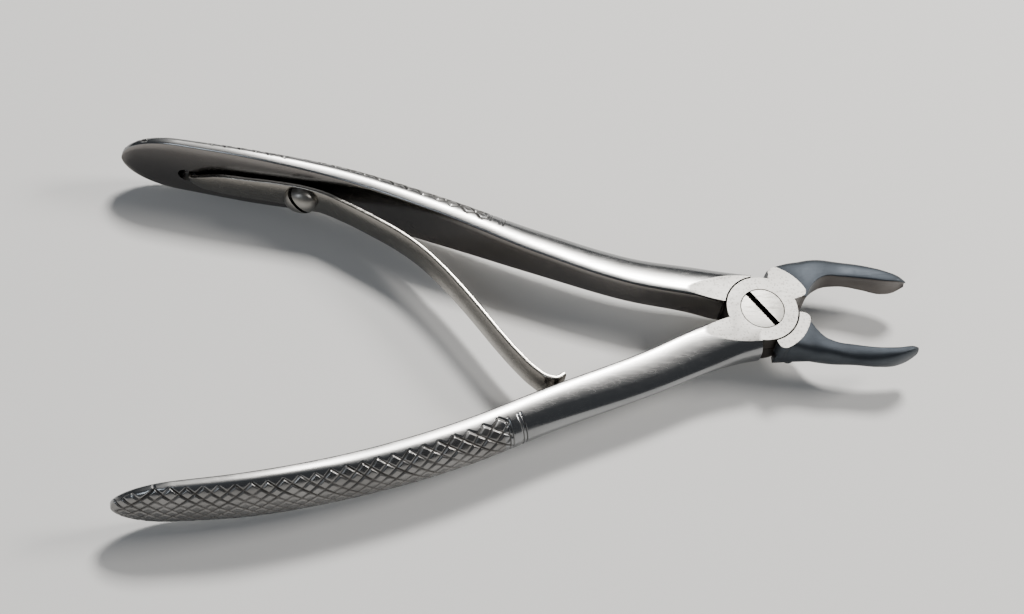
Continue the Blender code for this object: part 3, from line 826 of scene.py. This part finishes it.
def forged_steel(group):
    """Polished handles, ground joint flats and satin beaks in one steel, with painted light: a painted
    highlight on faces square to the pivot axis, and painted shade on the inner faces, the grooves and the
    joint's gap walls.
    """
    material, shader, nodes = metal_base("forged steel", 0.2)
    coordinates, worn = place_group(nodes, group, 620.0, 2300.0)
    beak = nodes.add("ShaderNodeAttribute", attribute_name="beak").outputs["Fac"]
    groove = nodes.add("ShaderNodeAttribute", attribute_name="groove").outputs["Fac"]
    grip = nodes.add("ShaderNodeAttribute", attribute_name="grip").outputs["Fac"]

    split = nodes.add("ShaderNodeSeparateXYZ")
    nodes.link(coordinates.outputs["Object"], split.inputs[0])
    off_plane = nodes.math("ABSOLUTE", nodes.math("SUBTRACT", split.outputs["Z"], PIVOT.z))
    edge = JOINT_HALF_THICKNESS * MM
    level = nodes.ramp(off_plane, edge - 0.00004, edge - 0.00001)
    near = nodes.ramp(split.outputs["X"], -0.0128, -0.0124)
    flat = nodes.math("MULTIPLY", level, near)

    # Painted shade: the walls of the lap's recess below the flats, in the gap between the halves, are
    # darkened.
    level_xy = nodes.add("ShaderNodeCombineXYZ")
    nodes.link(split.outputs["X"], level_xy.inputs["X"])
    nodes.link(split.outputs["Y"], level_xy.inputs["Y"])
    length = nodes.add("ShaderNodeVectorMath", operation="LENGTH")
    nodes.link(level_xy.outputs[0], length.inputs[0])
    in_joint = nodes.ramp(length.outputs["Value"], 0.00605, 0.0063, 1.0, 0.0)
    below = nodes.ramp(off_plane, edge - 0.0002, edge - 0.00008, 1.0, 0.0)
    gap_wall_shade = nodes.math("MULTIPLY", in_joint, below)

    facing = nodes.add("ShaderNodeSeparateXYZ")
    nodes.link(coordinates.outputs["Normal"], facing.inputs[0])
    # Faces turned towards the other half are darkened to brown: painted shade and painted reflection of a
    # shaded floor.
    inwards = nodes.math("MULTIPLY", facing.outputs["Y"], nodes.math("SIGN", split.outputs["Y"]))
    inner = nodes.ramp(inwards, -0.9, -0.7, 1.0, 0.0)
    # Painted highlight: faces square to the pivot axis are lightened towards a pale grey, as if lit.
    painted_highlight_band = nodes.ramp(nodes.math("ABSOLUTE", facing.outputs["Z"]), 0.9, 0.98)

    haze = worn.outputs["Haze"]
    polished = nodes.mix(haze, (0.27, 0.275, 0.28), (0.21, 0.213, 0.218))
    satin = nodes.mix(haze, (0.075, 0.085, 0.098), (0.05, 0.057, 0.066))
    ground = nodes.mix(worn.outputs["Pits"], (0.57, 0.555, 0.525), (0.37, 0.355, 0.335))
    handled = nodes.mix(haze, (0.23, 0.226, 0.222), (0.17, 0.166, 0.162))
    colour = nodes.mix(grip, polished, handled)
    # Painted highlight on the side bands.
    colour = nodes.mix(painted_highlight_band, colour, (0.66, 0.65, 0.63))
    colour = nodes.mix(beak, colour, satin)
    # Painted shade and painted reflection on the inner faces.
    colour = nodes.mix(nodes.math("MULTIPLY", inner, 0.55), colour, (0.17, 0.145, 0.125))
    colour = nodes.mix(flat, colour, ground)
    # Painted shade: the grooves and rings are darkened.
    colour = nodes.mix(nodes.ramp(groove, 0.15, 0.9), colour, (0.07, 0.065, 0.06))
    # Painted shade in the joint's gap.
    colour = nodes.mix(gap_wall_shade, colour, (0.05, 0.045, 0.04))
    nodes.link(colour, shader.inputs["Base Color"])

    rough = nodes.ramp(haze, 0.0, 1.0, 0.17, 0.25)
    rough = nodes.math("ADD", rough, nodes.math("MULTIPLY", worn.outputs["Scratches"], 0.06))
    satin_area = nodes.math("SUBTRACT", beak, flat, clamp=True)
    rough = nodes.math("ADD", rough, nodes.math("MULTIPLY", satin_area, 0.27))
    rough = nodes.math("ADD", rough, nodes.math("MULTIPLY", flat, 0.28))
    rough = nodes.math("ADD", rough, nodes.math("MULTIPLY", grip, 0.06))
    rough = nodes.math("ADD", rough, nodes.math("MULTIPLY", painted_highlight_band, 0.1))
    rough = nodes.math("ADD", rough, nodes.math("MULTIPLY", gap_wall_shade, 0.3))
    rough = nodes.math("ADD", rough, nodes.math("MULTIPLY", groove, 0.3), clamp=True)
    nodes.link(rough, shader.inputs["Roughness"])

    relief = nodes.math("MULTIPLY", worn.outputs["Scratches"], -0.5)
    depth = nodes.math("MULTIPLY", worn.outputs["Pits"], nodes.math("ADD", flat, 0.05))
    relief = nodes.math("SUBTRACT", relief, depth)
    bump(nodes, shader, relief, 0.2, 0.000012)
    return material


def plain_steel(name, group, light, dark, roughness, scratch_scale):
    """A steel with haze, scratches and pits of one finish, with painted shade darkening its slot."""
    material, shader, nodes = metal_base(name, roughness)
    _, worn = place_group(nodes, group, scratch_scale, 2200.0)
    slot = nodes.add("ShaderNodeAttribute", attribute_name="slot").outputs["Fac"]
    colour = nodes.mix(worn.outputs["Haze"], light, dark)
    # Painted shade: the slot's walls and floor are darkened.
    nodes.link(nodes.mix(slot, colour, (0.02, 0.018, 0.016)), shader.inputs["Base Color"])
    rough = nodes.ramp(worn.outputs["Haze"], 0.0, 1.0, roughness, roughness + 0.08)
    rough = nodes.math("ADD", rough, nodes.math("MULTIPLY", worn.outputs["Scratches"], 0.1))
    nodes.link(rough, shader.inputs["Roughness"])
    relief = nodes.math("MULTIPLY", nodes.math("ADD", worn.outputs["Scratches"], worn.outputs["Pits"]), -0.5)
    bump(nodes, shader, relief, 0.25, 0.000015)
    return material


# ---------------------------------------------------------------------------
# Stage
# ---------------------------------------------------------------------------

def make_floor():
    """A plain pale floor just under the object."""
    low = CAD_BOUNDS[0][2] - 0.0001
    bpy.ops.mesh.primitive_plane_add(size=3.0, location=(0.0, 0.0, low))
    floor = bpy.context.object
    floor.name = "floor"
    material = bpy.data.materials.new("pale floor")
    material.use_nodes = True
    shader = material.node_tree.nodes["Principled BSDF"]
    shader.inputs["Base Color"].default_value = (0.78, 0.77, 0.75, 1.0)
    shader.inputs["Roughness"].default_value = 0.75
    floor.data.materials.append(material)


def area_light(name, place, target, size, power, colour):
    """A soft rectangular light aimed at a point, in metres and watts."""
    lamp = bpy.data.lights.new(name, "AREA")
    lamp.shape = "RECTANGLE"
    lamp.size, lamp.size_y = size
    lamp.energy = power
    lamp.color = colour
    light = bpy.data.objects.new(name, lamp)
    light.location = place
    light.rotation_euler = (Vector(target) - Vector(place)).to_track_quat("-Z", "Y").to_euler()
    bpy.context.scene.collection.objects.link(light)


def make_lights():
    """A soft box behind the object, a second one to its right and a weak fill from the front."""
    aim = (-0.035, 0.0, 0.0)
    area_light("key", (0.17, 0.52, 0.72), aim, (0.20, 0.16), 10.5, (1.0, 0.985, 0.96))
    area_light("side", (0.62, 0.10, 0.42), aim, (0.20, 0.16), 4.0, (1.0, 0.97, 0.93))
    area_light("fill", (-0.45, -0.55, 0.60), aim, (0.16, 0.5), 1.2, (0.85, 0.92, 1.0))
    world = bpy.context.scene.world or bpy.data.worlds.new("studio")
    bpy.context.scene.world = world
    world.use_nodes = True
    background = world.node_tree.nodes["Background"]
    background.inputs["Color"].default_value = (0.80, 0.84, 0.90, 1.0)
    background.inputs["Strength"].default_value = 0.14


def make_camera():
    """The camera, from its target, distance, elevation, turn and roll."""
    turn = math.radians(VIEW_TURN)
    rise = math.radians(VIEW_ELEVATION)
    roll = math.radians(VIEW_ROLL)
    across = Vector((math.cos(turn), -math.sin(turn), 0.0))
    ahead = Vector((math.sin(turn), math.cos(turn), 0.0))
    up = Vector((0.0, 0.0, 1.0))
    back = up * math.sin(rise) - ahead * math.cos(rise)
    above = ahead * math.sin(rise) + up * math.cos(rise)
    right = across * math.cos(roll) - above * math.sin(roll)
    top = across * math.sin(roll) + above * math.cos(roll)
    place = Vector(VIEW_TARGET) * MM + PIVOT + back * VIEW_DISTANCE * MM
    lens = bpy.data.cameras.new("camera")
    lens.sensor_width = SENSOR_WIDTH
    lens.lens = FOCAL_LENGTH
    lens.clip_start = 0.01
    camera = bpy.data.objects.new("camera", lens)
    turn_matrix = Matrix((right, top, back)).transposed().to_4x4()
    camera.matrix_world = Matrix.Translation(place) @ turn_matrix
    bpy.context.scene.collection.objects.link(camera)
    bpy.context.scene.camera = camera


make_camera()
make_floor()
make_lights()
worn_metal = worn_metal_group()
make_halves(forged_steel(worn_metal))
screw_steel = plain_steel("screw steel", worn_metal, (0.31, 0.30, 0.28), (0.24, 0.232, 0.216), 0.36, 900.0)
make_pivot_screw(screw_steel)
make_spring_screw(screw_steel)
strip_light, strip_dark = (0.30, 0.285, 0.26), (0.24, 0.225, 0.205)
make_leaf_spring(plain_steel("spring steel", worn_metal, strip_light, strip_dark, 0.18, 500.0))
